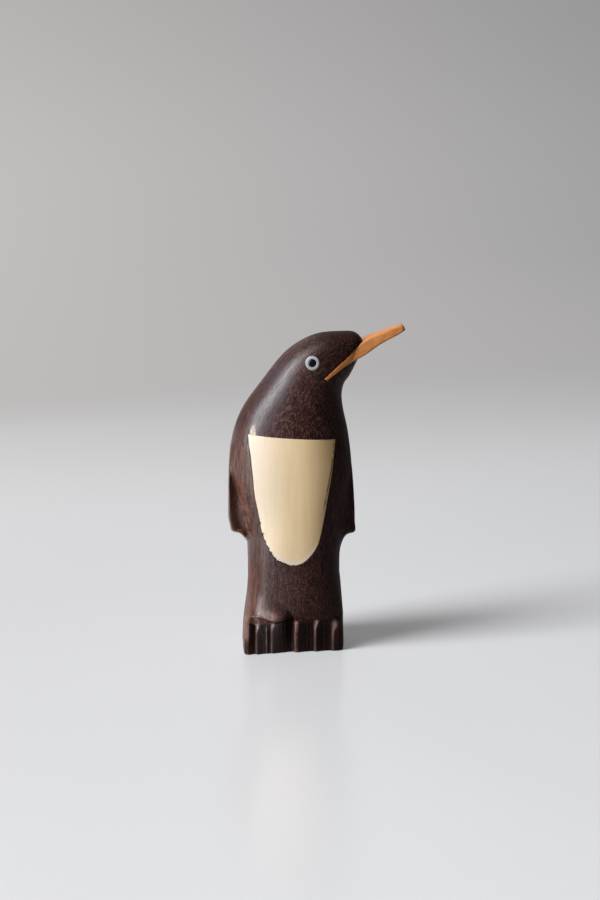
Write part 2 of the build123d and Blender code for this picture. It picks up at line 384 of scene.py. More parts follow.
# On the left (-1) and on the right (1).
rim_heights = {-1: 1.8, 1: 0.5}
outer_tapers = {-1: 0.075, 1: 0.105}
flute_top = (46.0, 54.0)
flute_bottom = (30.0, 36.0)
section = lath(wing_section_shares[:, 0], wing_section_shares[:, 1:], np.minimum(leaf_place, 8.0))
stands = np.clip(section[..., 0], 0, 1)
pushed = section[..., 1]

trunk = 1 - soft_step(wing_top - 3.0, wing_top + 2.0, level)
flute = 1 - soft_step(*flute_top, level)
flute_fade = soft_step(*flute_bottom, level)
for side, shares in ((-1, left_wing_shares), (1, right_wing_shares)):
    on_side = soft_step(0.2, 0.5, side * np.cos(turn))
    core_reach = np.max(side * block[..., 0], axis=1, keepdims=True)
    outline_reach = wing_reach(shares)
    thickness = np.maximum(outline_reach - core_reach, 0) * trunk
    present = soft_step(0.0, 0.1 + 0.3 * soft_step(40.0, 50.0, level), thickness) * on_side
    rim_fade = np.where(pushed > 0, soft_step(0.1, 0.9, thickness), flute_fade)
    rim_depth = rim_heights[side] * flute * rim_fade
    face_reach = outline_reach - outer_tapers[side] * np.maximum(-side * block[..., 1], 0)
    block[..., 0] += (side * face_reach - block[..., 0]) * stands * present
    block[..., 1] += np.sign(block[..., 1]) * on_side * pushed * rim_depth
    print("wing", side, "thickest", thickness.max().round(2), "mm")

# %% [markdown]
# ## The feet
#
# The feet are a plinth at the foot of the block, a little larger than the trunk in front, with a slanted
# top. The carver cut the toes with single strokes: each cut leaves one long bevel that faces right and one
# short wall that faces left. A deeper cut that leans to the left parts the two feet. On the grid, the
# trunk's ring blends into a nearly square plan ring below the ankle, and the cuts push the front back by
# the depth of a saw tooth. Above the ankle the knife left a small tuck, and over the left foot the belly
# swells out above it.

# %% Plan of the feet
foot_squareness = 14.0
foot_left_reach = 15.2
foot_right_reach = 13.7
# Place across the feet; then the reach to the front there, the height of the toes' top, and the ankle's.
front_points = np.array(((-15.2, 15.3), (-6.5, 13.9), (0.2, 13.2), (13.7, 11.9)))
toe_top_points = np.array((
    (-16.0, 9.2), (-13.9, 9.1), (-11.2, 8.5), (-7.0, 8.6), (0.0, 8.4), (3.0, 8.6), (7.3, 8.5), (11.0, 7.4),
    (14.0, 6.9),
))
ankle_points = np.array((
    (-16.0, 10.9), (-13.4, 10.5), (-10.5, 9.9), (-8.0, 9.3), (-5.5, 9.2), (-3.5, 9.4), (0.0, 9.2), (7.0, 9.3),
    (14.0, 9.6),
))
foot_batter = 0.45

foot_along, foot_across = oval(turn, foot_squareness)
in_front = np.clip(-foot_across, 0, 1)
corner_reach = np.where(foot_along < 0, foot_left_reach, foot_right_reach)
side_reach = np.abs(block[..., 0])
foot_x = foot_along * (side_reach + (corner_reach - side_reach) * in_front)
front_reach = chart(front_points, foot_x)
foot_y = -in_front * (front_reach - foot_batter * level / ankle_rise)

toe_top = chart(toe_top_points, foot_x)
ankle = chart(ankle_points, foot_x)
foot_share = 1 - np.clip((level - toe_top) / (ankle - toe_top), 0, 1)
foot_share = foot_share * soft_step(0.0, 0.3, in_front) * (np.sin(turn) < 0)
print("feet reach", foot_y.min().round(2), "mm to the front")

# %% The tuck above the ankle and the swell of the belly over it
tuck_depth = 0.8
tuck_drop = 1.0
tuck_half_height = 0.6
swell_slope = 0.84
swell_blend = 0.85
# Place across the figure, and how far the swell stands out there.
swell_points = np.array((
    (-15.0, 0.10), (-14.0, 0.45), (-12.5, 0.80), (-11.0, 1.05), (-9.5, 1.50), (-8.0, 2.15), (-6.8, 2.66),
    (-5.6, 2.84), (-4.6, 2.60), (-3.8, 2.15), (-3.1, 1.60), (-2.4, 0.95), (-1.6, 0.32), (-0.6, 0.05),
    (1.0, 0.0), (15.0, 0.0),
))
front_side = soft_step(0.15, 0.5, -np.sin(turn))
above_ankle = level - ankle
tuck = hump(-tuck_drop, tuck_half_height, above_ankle) * front_side
tuck_fade = 0.5 + 0.5 * (1 - soft_step(-3.0, 2.0, block[..., 0]))
swell_height = lath(swell_points[:, 0], swell_points[:, 1:], block[..., 0])[..., 0]
facet = swell_height - swell_slope * above_ankle
swell = swell_blend * np.logaddexp(0, facet / swell_blend) * soft_step(0.0, 0.5, swell_height)
swell *= soft_step(-0.75, 0.25, above_ankle) * front_side * (1 - soft_step(4.0, 7.0, above_ankle))
block[..., 1] += tuck_depth * tuck * tuck_fade - swell

block[..., 0] += (foot_x - block[..., 0]) * foot_share
block[..., 1] += (foot_y - block[..., 1]) * foot_share
print("swell stands out", swell.max().round(2), "mm")

# %% Toe cuts
# Where the cut is deepest, its depth, the run of the wall that faces right and of the one that faces left,
# and how much its left-facing wall is lightened, partly as wear and partly as painted light from the window.
toe_cuts = (
    (-11.95, 1.30, 1.55, 0.75, 0.55),
    (-8.80, 0.70, 2.00, 0.55, 0.3),
    (-7.50, 1.00, 1.00, 0.60, 0.45),
    (4.80, 1.45, 4.30, 0.80, 0.75),
    (9.80, 1.35, 4.00, 0.95, 0.55),
)
facet_widening = 0.9
facet_height = 2.2
sole_depth_share = 0.55
cut_depth = np.zeros_like(level)
wear_and_highlight_points = np.zeros_like(level)
toe_tips = soft_step(toe_top - 6.0, toe_top, level)
across_toes = block[..., 0]
deeper = sole_depth_share + (1 - sole_depth_share) * soft_step(0.0, 6.0, level)
for deepest, depth, right_run, left_run, wear_and_light in toe_cuts:
    past = across_toes - deepest
    wider = left_run + facet_widening * soft_step(toe_top - facet_height, toe_top + 0.4, level)
    entering = np.interp(past, (-right_run, -0.6 * right_run, 0.0), (0.0, 0.72, 1.0))
    leaving = np.clip(1 - past / wider, 0, 1)
    tooth = np.where(past < 0, entering, leaving)
    cut_depth = np.maximum(cut_depth, depth * deeper * tooth)
    edge = np.clip(1 - np.abs(past / wider - 0.75) / 0.5, 0, 1)
    wear_and_highlight_points = np.maximum(wear_and_highlight_points, wear_and_light * edge * (0.35 + 0.65 * toe_tips))
# The first toe's corner is lightened: painted light where the window falls on it.
first_toe = soft_step(-12.9, -13.4, across_toes) * soft_step(2.5, 6.5, level)
wear_and_highlight_points = np.maximum(wear_and_highlight_points, 0.5 * first_toe)
cut_fade = 1 - soft_step(0.0, 1.0, (level - toe_top) / (ankle - toe_top))
# A pale line along the swell's rim and a patch on the swell are painted highlights, kept with the wear.
swell_rim = 0.4 * hump(0.10, 0.22, above_ankle) * soft_step(0.8, 1.4, swell_height)
swell_highlight_patch = 0.62 * hump(-7.4, 2.6, across_toes) * hump(1.4, 1.1, above_ankle)
swell_highlight = np.maximum(swell_rim, swell_highlight_patch)
print("toe cuts", len(toe_cuts), "deepest", cut_depth.max().round(2), "mm")

# %% The gap between the feet
# Height; then the gap's depth, where it is deepest, and the runs of its two walls.
gap_by_height = np.array((
    (0.0, 1.4, -1.2, 5.2, 1.0),
    (5.0, 2.7, -1.4, 5.0, 1.1),
    (8.5, 2.9, -1.6, 4.4, 1.5),
    (9.6, 2.4, -1.9, 2.2, 1.5),
    (10.8, 1.4, -2.2, 1.0, 1.2),
    (12.7, 0.0, -2.5, 0.3, 0.3),
    (99.0, 0.0, -2.5, 0.3, 0.3),
))
gap_depth, gap_x, gap_right_run, gap_left_run = (
    np.interp(level, gap_by_height[:, 0], gap_by_height[:, k]) for k in range(1, 5))
past_gap = across_toes - gap_x
gap_tooth = np.where(past_gap < 0, 1 + past_gap / gap_right_run, 1 - past_gap / gap_left_run)
gap_cut = gap_depth * np.clip(gap_tooth, 0, 1)
# The gap's left-facing wall is lightened: painted light where the window catches it.
gap_edge = np.clip(1 - np.abs(past_gap - gap_left_run - 0.15) / 0.55, 0, 1) * soft_step(0.3, 1.2, gap_depth)
wear_and_highlight_points = np.maximum(wear_and_highlight_points, gap_edge * (0.60 + 0.60 * toe_tips))
block[..., 1] += np.maximum(cut_depth * cut_fade, gap_cut) * front_side
print("gap between the feet", gap_cut.max().round(2), "mm deep")

# %% Knife marks, and the rounded edge of the sole
mark_height = 0.05
marks = np.sin(block[..., 0] * 5.1 + 0.7 * np.sin(block[..., 0] * 1.9)) * soft_step(0.5, 1.0, foot_share)
block[..., 1] += mark_height * marks
sole_edge = 0.25
inset = sole_edge * (1 - np.sqrt(np.clip(1 - (1 - level / sole_edge) ** 2, 0, 1))) * (level < sole_edge)
block[..., 0] -= inset * np.sign(block[..., 0])
block[..., 1] -= inset * np.sign(block[..., 1])
body_mesh = skin("carved body", block)

# %% Wear with painted light, and painted shade in the cuts, kept on the points
# Painted shade: the wood is darkened in the toe cuts and the gap, and on the toe fronts, most near the sole.
deepest_cut = 1.3
below_toe_edge = 1 - soft_step(toe_top - 1.8, toe_top - 0.3, level)
toe_fronts = foot_share * below_toe_edge * soft_step(0.6, 1.0, in_front)
below_toe_top = 1 - soft_step(toe_top - 0.8, toe_top + 0.3, level)
in_cuts = np.maximum(cut_depth / deepest_cut, gap_cut / 2) * below_toe_top
low_dark = 0.45 + 0.35 * (1 - soft_step(2.0, 7.0, level))
cut_shade_points = np.clip(np.maximum(in_cuts, low_dark * toe_fronts), 0, 1) * (1 - wear_and_highlight_points)
wear_and_highlight_points = np.maximum(wear_and_highlight_points * cut_fade, swell_highlight)
front_half = soft_step(0.0, 0.65, -np.sin(turn))
for name, values in (("wear_and_highlight", wear_and_highlight_points), ("cut_shade", cut_shade_points)):
    keep_on_points(body_mesh, name, np.append(values * front_half, (0, 0)))
    print(name, "on", int((values > 0.5).sum()), "points")

# %% [markdown]
# ## Pockets
#
# The panel, the eyes and the beak are let into the block, so the block needs a pocket for each. A pocket is
# a boolean cut by a simple prism that is a hair larger than the piece, which leaves the thin dark joint
# line that glue leaves on the real figure. Doing it with real cuts, rather than paint, keeps the joints
# right from any side.

# %% Outline of the belly panel
panel_low, panel_high = box_of("belly_inlay")
panel_middle_x = (panel_low[0] + panel_high[0]) / 2
panel_half_width = (panel_high[0] - panel_low[0]) / 2
panel_height = panel_high[2] - panel_low[2]
panel_top_sag = 0.08
# Reach and height of the sides from the lowest point up, in shares of the panel's half-width and height.
panel_lowest = (-0.037, 0.009)
panel_left_shares = np.array((
    (0.230, 0.023), (0.428, 0.062), (0.605, 0.154), (0.724, 0.244), (0.774, 0.337), (0.881, 0.523),
    (0.952, 0.705), (1.012, 0.883), (1.030, 0.998),
))
panel_right_shares = np.array((
    (0.173, 0.020), (0.354, 0.064), (0.547, 0.151), (0.638, 0.244), (0.695, 0.337), (0.797, 0.519),
    (0.897, 0.700), (0.963, 0.878), (0.984, 0.956),
))


def panel_outline(side_count, top_count):
    """Rounded U from the left corner down, round and up to the right, closed by a slightly sagging top."""
    shares = np.concatenate((panel_left_shares[::-1] * (-1, 1), [panel_lowest], panel_right_shares))
    points = shares * (panel_half_width, panel_height) + (panel_middle_x, panel_low[2])
    sides = lath_through(points, side_count)
    share = np.linspace(0, 1, top_count)[1:-1, None]
    top = sides[-1] + (sides[0] - sides[-1]) * share
    top[:, 1] -= panel_top_sag * 4 * (share * (1 - share))[:, 0]
    return np.concatenate((sides, top))


outline = panel_outline(260, 90)
print("panel outline", outline.min(axis=0).round(2), outline.max(axis=0).round(2))


# %% Cutters
def grow(line, amount):
    """A closed line moved outwards: each point steps along the right angle to its neighbours' chord."""
    chord = np.roll(line, -1, axis=0) - np.roll(line, 1, axis=0)
    out = np.stack((-chord[:, 1], chord[:, 0]), axis=-1) / np.linalg.norm(chord, axis=1, keepdims=True)
    area = np.sum(line[:, 0] * np.roll(line[:, 1], -1) - line[:, 1] * np.roll(line[:, 0], -1))
    return line - np.sign(area) * out * amount


def prism(name, line, near, far):
    """A closed line in x and z, carried straight through from one depth to another."""
    rings = np.stack([np.insert(line, 1, depth, axis=1) for depth in (near, far)])
    return skin(name, rings)


def cut_from(body, cutter_mesh):
    """Takes a closed shape out of the body with an exact boolean, and keeps the result as a plain mesh."""
    cutter = add_object("cutter", cutter_mesh)
    boolean = body.modifiers.new("pocket", "BOOLEAN")
    boolean.operation = "DIFFERENCE"
    boolean.solver = "EXACT"
    boolean.object = cutter
    graph = bpy.context.evaluated_depsgraph_get()
    result = bpy.data.meshes.new_from_object(body.evaluated_get(graph))
    body.modifiers.clear()
    body.data = result
    bpy.data.objects.remove(cutter)
    print("cut", cutter_mesh.name, "faces left", len(result.polygons))


body = place("carved_body_wood", body_mesh, "carved_body")
panel_joint = 0.07
panel_floor = panel_high[1]
in_the_open = 30.0
cut_from(body, prism("panel pocket", grow(outline, panel_joint), panel_floor, -in_the_open))

# %% Eye sockets
ring_low, ring_high = box_of("front_eye_ring")
eye_shift = (-0.05, 0, 0.2)
eye_middle = (ring_low + ring_high) / 2 + eye_shift
ring_radius = (ring_high[0] - ring_low[0]) / 2
eye_joint = 0.08
eye_floor = ring_high[1]
around = np.linspace(0, 2 * math.pi, 97)[:-1]
circle = np.stack((np.cos(around), np.sin(around)), axis=-1)
eye_line = eye_middle[[0, 2]] + circle * (ring_radius + eye_joint)
cut_from(body, prism("front eye socket", eye_line, eye_floor, -in_the_open))
cut_from(body, prism("back eye socket", eye_line, -eye_floor, in_the_open))

# %% [markdown]
# ## The beak
#
# The beak is one slip of wood. Its inner half is a wedge that fills a slot sawn across the whole head, so
# its side shows flush in the cheek; its outer half runs free and tapers to a blunt tip. Two laths give its
# upper and lower edge as seen from the side, and at each station a rounded rectangle spans between them.
# Inside the slot its half-width is the depth of the block at that place, so it ends flush with the cheek by
# itself.

# %% Edges of the beak and its slot
beak_low = box_of("beak")[0]
# Upper edge x and z, lower edge x and z, in millimetres from the inner low corner of the beak's CAD box.
beak_edge_places = np.array((
    (-0.7, 0.6, 0.2, -0.15),
    (2.5, 3.4, 3.25, 2.05),
    (6.2, 6.6, 6.8, 4.4),
    (10.4, 10.0, 11.3, 6.65),
    (13.6, 11.50, 15.1, 9.05),
    (17.4, 13.0, 18.9, 10.95),
    (20.6, 14.20, 21.7, 12.30),
    (21.9, 14.65, 22.8, 13.00),
))
beak_start = np.array((beak_low[0], beak_low[2]))
edges = beak_edge_places.reshape(-1, 2, 2) + beak_start
station_count = 120
station_knots = running_sum(step_lengths(edges.mean(axis=1)))
stations = np.linspace(0, station_knots[-1], station_count)
edge_lines = lath(station_knots, edges.reshape(-1, 4), stations).reshape(-1, 2, 2)
upper = edge_lines[:, 0]
lower = edge_lines[:, 1]

slot_share = 0.66
slot_end = int(slot_share * station_count)
slot_joint = 0.10
slot_opening = 0.75
slot_opens = np.linspace(0, 1, slot_end)[:, None]
rising = upper[:slot_end] - lower[:slot_end]
rising = rising / np.linalg.norm(rising, axis=1, keepdims=True)
slot_upper = upper[:slot_end] + rising * (slot_joint + slot_opening * slot_opens**2)
slot_lower = lower[:slot_end] - rising * slot_joint
slot_back = (slot_upper[0] + slot_lower[0]) / 2 + (slot_lower[0] - slot_lower[1])
slot_line = np.concatenate((slot_upper, slot_lower[::-1], slot_back[None]))
cut_from(body, prism("beak slot", slot_line, -in_the_open, in_the_open))
crease_degrees = 36.0
shade(body.data, crease_degrees)
print("beak length", stations[-1].round(2), "mm, slot to", upper[slot_end].round(2))

# %% Section of the beak
corner_radius = 0.45
corner_points = 7
face_half_width = 5.4
side_swell = 0.06
side_lean = 0.26
tip_half_width = 1.6
face_x = body_high[0]
side_points = 9
corner_turn = np.linspace(0, math.pi / 2, corner_points)
corner_turns = [corner_turn + quarter * math.pi / 2 for quarter in range(4)]
flat = np.linspace(1, -1, side_points + 2)[1:-1]
corner_ones = np.ones(corner_points)
side_ones = np.ones(side_points)


def around_section(corners, near_side, far_side):
    """Values once round the section: corner, side, corner, then the same on the far side."""
    return np.concatenate((corners[0], near_side, corners[1], corners[2], far_side, corners[3]))


over_place = around_section((corner_ones, -corner_ones, -corner_ones, corner_ones), flat, -flat)
over_turn = around_section(np.cos(corner_turns), 0 * flat, 0 * flat)
side_place = around_section((corner_ones, corner_ones, -corner_ones, -corner_ones), side_ones, -side_ones)
side_turn = around_section(np.sin(corner_turns), side_ones, -side_ones)
print("points round the beak", len(over_place))

# %% Beak from its wedge to its tip
beak_middle = (upper + lower) / 2
beak_rise = upper - lower
half_thickness = np.linalg.norm(beak_rise, axis=1) / 2
rise_way = beak_rise / (2 * half_thickness[:, None])
rounding = np.minimum(corner_radius, 0.8 * half_thickness)[:, None]
over = over_place * (half_thickness[:, None] - rounding) + rounding * over_turn
beak_x = beak_middle[:, :1] + rise_way[:, :1] * over
beak_z = beak_middle[:, 1:] + rise_way[:, 1:] * over

free_share = np.minimum((beak_middle[:, :1] - face_x) / (beak_middle[-1, 0] - face_x), 1)
free_half_width = face_half_width + (tip_half_width - face_half_width) * free_share
cheek = -front_of_block(np.minimum(beak_x, face_x - 0.3), np.clip(beak_z, 70.0, 87.0))
outside = soft_step(face_x - 3.0, face_x - 0.5, beak_x)
beak_half_width = np.maximum(cheek, free_half_width) * (1 - outside) + free_half_width * outside
beak_swell = side_swell * (1 - (over / half_thickness[:, None]) ** 2)
beak_lean = -side_lean * over * soft_step(face_x - 9.0, face_x, beak_x)
beak_y = side_place * (beak_half_width + beak_swell + beak_lean - rounding) + rounding * side_turn
beak_rings = np.stack((beak_x, beak_y, beak_z), axis=-1)
print("beak half-width", beak_half_width.min().round(2), "to", beak_half_width.max().round(2), "mm")

# %% Blunt tip of the beak
tip_shrink = np.array((0.95, 0.84, 0.62))
tip_step = np.array((0.16, 0.26, 0.30))
tip_way = (beak_middle[-1] - beak_middle[-2]) / np.linalg.norm(beak_middle[-1] - beak_middle[-2])
tip_centre = np.array((beak_middle[-1, 0], 0, beak_middle[-1, 1]))
tip_rings = tip_centre + (beak_rings[-1] - tip_centre)[None] * tip_shrink[:, None, None]
tip_rings += np.array((tip_way[0], 0, tip_way[1])) * tip_step[:, None, None]
beak_mesh = skin("beak", np.concatenate((beak_rings, tip_rings)))
shade(beak_mesh, crease_degrees)
beak = place("beak_slip", beak_mesh, "beak")

# %% [markdown]
# ## The belly panel
#
# The panel was glued in proud and sanded down with the block, so its face is the block's own front. It is a
# polar grid: rings that shrink from the outline to a middle, each point set to the depth of the block's
# front there. A last ring rolls over the edge, and walls run to the floor of the pocket. The distance to
# the outline is kept on the points, because the wood is bruised and filled with dark dust along its rim.

# %% Panel: its bitten rim
panel_rings = 56
panel_middle = np.array((panel_middle_x, panel_low[2] + 0.58 * panel_height))
steps = np.linalg.norm(np.diff(outline, axis=0, append=outline[:1]), axis=1)
along_rim = np.cumsum(steps)
bruised = (1 - soft_step(36.0, 42.0, outline[:, 1])) * (1 - soft_step(-2.0, 1.0, outline[:, 0]))
slow_nibble = np.sin(6.1 * along_rim + 2.3 * np.sin(2.7 * along_rim))
quick_nibble = np.sin(13.7 * along_rim + 1.9 * np.sin(4.9 * along_rim))
bite = (0.03 + 0.30 * bruised) * np.clip(0.35 + 0.5 * (slow_nibble + quick_nibble), 0, 1)
to_middle = panel_middle - outline
rim_line = outline + to_middle / np.linalg.norm(to_middle, axis=1, keepdims=True) * bite[:, None]
print("panel rim bitten by up to", bite.max().round(2), "mm")

# %% Panel: face and walls
rim_share = 0.06
rim_rings = 14
inward = np.concatenate((
    np.linspace(0, rim_share, rim_rings),
    np.linspace(rim_share, 1, panel_rings - rim_rings + 1)[1:-1],
))[:, None, None]
face_line = rim_line + (panel_middle - rim_line) * inward
panel_proud = 0.02
edge_roll = 0.10
rim_distance = np.linalg.norm(outline - panel_middle, axis=1) * inward[..., 0]
roll_width = 0.22
rolled = edge_roll * np.clip(1 - rim_distance / roll_width, 0, 1) ** 2
face_depth = front_of_block(face_line[..., 0], face_line[..., 1]) - panel_proud + rolled
face_rings = np.stack((face_line[..., 0], face_depth, face_line[..., 1]), axis=-1)
wall_shares = np.linspace(1, 0, 5)[:-1, None]
glue_gap = 0.05
wall_depth = panel_floor - glue_gap + (face_depth[0] - panel_floor) * (1 - wall_shares)
wall_rings = np.stack(np.broadcast_arrays(rim_line[:, 0], wall_depth, rim_line[:, 1]), axis=-1)
panel_mesh = skin("belly panel", np.concatenate((wall_rings, face_rings)))
far_from_rim = 20
rim_values = np.concatenate((np.zeros(wall_depth.size), rim_distance.ravel(), (0, far_from_rim)))
keep_on_points(panel_mesh, "rim_distance", rim_values)
inlay_crease_degrees = 50.0
shade(panel_mesh, inlay_crease_degrees)
panel = place("belly_panel", panel_mesh, "belly_inlay")

# %% [markdown]
# ## The eyes
#
# Each eye is a short plug of a white ring with a black core, let in level with the cheek. Both are profiles
# turned about the eye's axis and then pushed to the depth of the cheek under each point, so they follow the
# head's curve. The far eye is the mirror image of the near one across the middle of the figure.

# %% Eyes
eye_dome = 0.08


def eye_plug(name, radii, lifts, mirrored):
    """A profile of radius and lift turned about the eye's axis; lift None means the floor of the socket."""
    rings = []
    for radius, lift in zip(radii, lifts):
        ring = eye_middle[[0, 2]] + circle * radius
        surface = front_of_block(ring[:, 0], ring[:, 1]) - (lift or 0)
        depth = np.full(len(ring), eye_floor - glue_gap) if lift is None else surface
        rings.append(np.stack((ring[:, 0], depth, ring[:, 1]), axis=-1))
    rings = np.array(rings)
    if mirrored:
        rings[..., 1] *= -1
    mesh = skin(name, rings)
    shade(mesh, inlay_crease_degrees)
    return mesh


ring_edge = 1.93
ring_hole = 1.13
ring_crest = (ring_hole + ring_edge) / 2
ring_radii = (ring_hole, ring_hole, ring_hole + 0.05, ring_crest, ring_edge - 0.12, ring_edge, ring_edge)
ring_lifts = (None, 0.02, eye_dome, eye_dome * 0.9, 0.05, 0.0, None)
pupil_edge = 1.10
pupil_radii = (pupil_edge, pupil_edge, pupil_edge - 0.08, pupil_edge * 0.5, pupil_edge * 0.1)
pupil_lifts = (None, 0.03, eye_dome + 0.01, eye_dome + 0.05, eye_dome + 0.06)
eye_pieces = {}
for which in ("front", "back"):
    far = which == "back"
    ring_name = which + "_eye_ring"
    pupil_name = which + "_eye_pupil"
    ring_mesh = eye_plug(ring_name, ring_radii, ring_lifts, far)
    pupil_mesh = eye_plug(pupil_name, pupil_radii, pupil_lifts, far)
    eye_pieces[ring_name] = place(ring_name + "_white", ring_mesh, ring_name)
    eye_pieces[pupil_name] = place(pupil_name + "_black", pupil_mesh, pupil_name)

# %% [markdown]
# ## Writing shader maths as expressions
#
# A wood is a sum of many small patterns, and drawing those nodes by hand is slow to read. The class below
# wraps one output socket; arithmetic on it adds a Math node and wraps the result, so a pattern reads like a
# formula.


# %% A socket with operators
class Pattern:
    """One output socket of a material's node tree. Operators add Math nodes, node() adds any other node."""

    def __init__(self, tree, socket):
        self.tree = tree
        self.socket = socket

    def node(self, kind, settings=None, inputs=None, output=0):
        """Adds a node: its settings first, then the values or links of its sockets."""
        made = self.tree.nodes.new(kind)
        for name, value in (settings or {}).items():
            setattr(made, name, value)
        for name, value in (inputs or {}).items():
            if isinstance(value, Pattern):
                self.tree.links.new(value.socket, made.inputs[name])
            else:
                made.inputs[name].default_value = value
        return Pattern(self.tree, made.outputs[output])

    def math(self, operation, *values):
        """A Math node on any values or patterns."""
        return self.node("ShaderNodeMath", {"operation": operation}, dict(enumerate(values)))

    def __add__(self, other):
        return self.math("ADD", self, other)

    def __sub__(self, other):
        return self.math("SUBTRACT", self, other)

    def __rsub__(self, other):
        return self.math("SUBTRACT", other, self)

    def __mul__(self, other):
        return self.math("MULTIPLY", self, other)

    def __truediv__(self, other):
        return self.math("DIVIDE", self, other)

    __radd__ = __add__
    __rmul__ = __mul__

    def stretch(self, scale, shift=(0, 0, 0)):
        """A vector times a scale, axis by axis, after a shift."""
        moved = self.node("ShaderNodeVectorMath", {"operation": "ADD"}, {0: self, 1: shift})
        return self.node("ShaderNodeVectorMath", {"operation": "MULTIPLY"}, {0: moved, 1: scale})

    def noise(self, scale, detail=2.0, roughness=0.5, shift=(0, 0, 0)):
        """Noise over this vector, stretched by its own scale on each axis."""
        vector = self.stretch(scale, shift)
        inputs = {"Vector": vector, "Scale": 1.0, "Detail": detail, "Roughness": roughness}
        return self.node("ShaderNodeTexNoise", None, inputs)

    def between(self, low, high):
        """0 below low, 1 above high, smooth between."""
        settings = {"interpolation_type": "SMOOTHSTEP"}
        return self.node("ShaderNodeMapRange", settings, {0: self, 1: low, 2: high})

    def below(self, low, high):
        """1 below low, 0 above high, smooth between."""
        return 1 - self.between(low, high)

    def tint(self, first, second):
        """Mixes two colours by this pattern."""
        inputs = {0: self}
        for slot, colour in ((6, first), (7, second)):
            inputs[slot] = colour if isinstance(colour, Pattern) else (*colour, 1)
        return self.node("ShaderNodeMix", {"data_type": "RGBA"}, inputs, 2)

    def axis(self, which):
        """One axis of this vector: 0, 1 or 2."""
        return self.node("ShaderNodeSeparateXYZ", None, {0: self}, which)


def new_material(name):
    """A material with its shader, and the object's own coordinates in millimetres."""
    material = bpy.data.materials.new(name)
    material.use_nodes = True
    tree = material.node_tree
    shader = tree.nodes["Principled BSDF"]
    coordinate = Pattern(tree, tree.nodes.new("ShaderNodeTexCoord").outputs["Object"])
    return material, shader, coordinate.stretch((1 / MILLIMETRE,) * 3)


def feed(shader, socket, pattern):
    """Links a pattern to one of the shader's sockets."""
    pattern.tree.links.new(pattern.socket, shader.inputs[socket])


def bump(pattern, distance_mm, strength):
    """A bump over a height pattern, whose full height is the distance."""
    inputs = {"Height": pattern, "Distance": distance_mm * MILLIMETRE, "Strength": strength}
    return pattern.node("ShaderNodeBump", None, inputs)


def dress(piece, material):
    """Gives a piece its one material."""
    piece.data.materials.clear()
    piece.data.materials.append(material)
    print(piece.name, "wears", material.name, "with", len(material.node_tree.nodes), "nodes")


# %% [markdown]
# ## Dark wood
#
# The block is a heavy dark hardwood with its grain upright. Close up it is not one brown: near-black and
# red-brown fibres lie side by side, short pale strokes and dark pores run between them, and growth layers
# pass through the block as tilted, wavering sheets. The pattern is solid, worked out from the place in the
# block, so it runs through every cut as in real wood. Above the shoulders the grain leans with the neck.

# %% Dark wood: layers, fibres and pores
dark_wood, dark_shader, place_mm = new_material("dark_wood")
across, inwards, height = (place_mm.axis(k) for k in range(3))
layer_tilt = 0.45
layer_width = 0.55
wander = (place_mm.noise((0.13, 0.13, 0.07), 3.0) - 0.5) * 5.0
ripple = (place_mm.noise((0.45, 0.45, 0.45), 2.0) - 0.5) * 1.1
layer_phase = (inwards + height * layer_tilt + wander + ripple) / layer_width
layer = layer_phase.math("FRACT", layer_phase)
late_wood = layer.between(0.15, 0.60) * layer.below(0.70, 1.0)

neck_start = 64.0
grain_lean = 0.6
neck_rise = height.math("MAXIMUM", height - neck_start, 0.0)
leaning = place_mm.node("ShaderNodeCombineXYZ", None, {0: wander - neck_rise * grain_lean, 1: wander})
grain = place_mm.node("ShaderNodeVectorMath", {"operation": "ADD"}, {0: place_mm, 1: leaning})
broad_streak = grain.noise((0.30, 0.30, 0.016), 3.0, 0.55).between(0.36, 0.66)
streak = grain.noise((1.6, 1.6, 0.08), 3.0, 0.62).between(0.36, 0.66)
fibre = grain.noise((2.4, 2.4, 0.40), 3.0, 0.6, shift=(31, 7, 11)).between(0.36, 0.64)
stroke = grain.noise((3.2, 3.2, 0.68), 1.5, 0.5, shift=(5, 41, 3)).between(0.49, 0.59)
pore = grain.noise((2.6, 2.6, 0.14), 2.0, 0.5, shift=(15, 4, 23)).between(0.52, 0.66)
print("growth layers", layer_width, "mm apart, nodes so far", len(dark_wood.node_tree.nodes))

# %% Dark wood: colours of the grain
near_black = (0.0075, 0.0034, 0.0029)
dark_red = (0.064, 0.018, 0.013)
layer_brown = (0.105, 0.047, 0.036)
pale_stroke = (0.196, 0.094, 0.082)
warm_brown = (0.290, 0.122, 0.076)
nape_slope = 0.43
behind_neck = across - neck_rise * nape_slope
shaded_side = across.between(-5.0, 11.0)
wood_colour = (fibre * 0.40 + streak * 0.35 + broad_streak * 0.25).tint(near_black, dark_red)
belly_layers = late_wood * height.below(22.0, 34.0) * (0.12 + streak * 0.15)
wood_colour = belly_layers.tint(wood_colour, layer_brown)

stroke_share = 0.58 + height.between(54.0, 64.0) * 0.5 + height.between(74.0, 84.0) * 0.5
stroke_share = stroke_share * (0.35 + behind_neck.between(-10.5, -5.5) * 0.65)
stroke_share = stroke_share * (0.56 + late_wood * 0.48) * (1 - shaded_side * 0.5)
wood_colour = (stroke * stroke_share).tint(wood_colour, pale_stroke)

# Painted light: a warmer, lighter brown on the left flank, which faces the window, carried by the flank's
# grain; painted shade holds it back under the wing and towards the back.
under_wing_shade = height.between(23.0, 28.0) * height.below(30.0, 34.0)
left_flank_light = across.below(-15.0, -7.0) * height.below(55.0, 66.0) * (1 - under_wing_shade * 0.5)
left_flank_light = left_flank_light * (1 - height.between(40.0, 52.0) * 0.35) * (1 - inwards.between(-9.0, 0.0) * 0.5)
flank_figure = 0.06 + broad_streak * 0.28 + streak.between(0.2, 0.9) * 0.36 + fibre * 0.10
wood_colour = (left_flank_light * flank_figure).tint(wood_colour, warm_brown)
wood_colour = (pore * 0.7).tint(wood_colour, near_black)
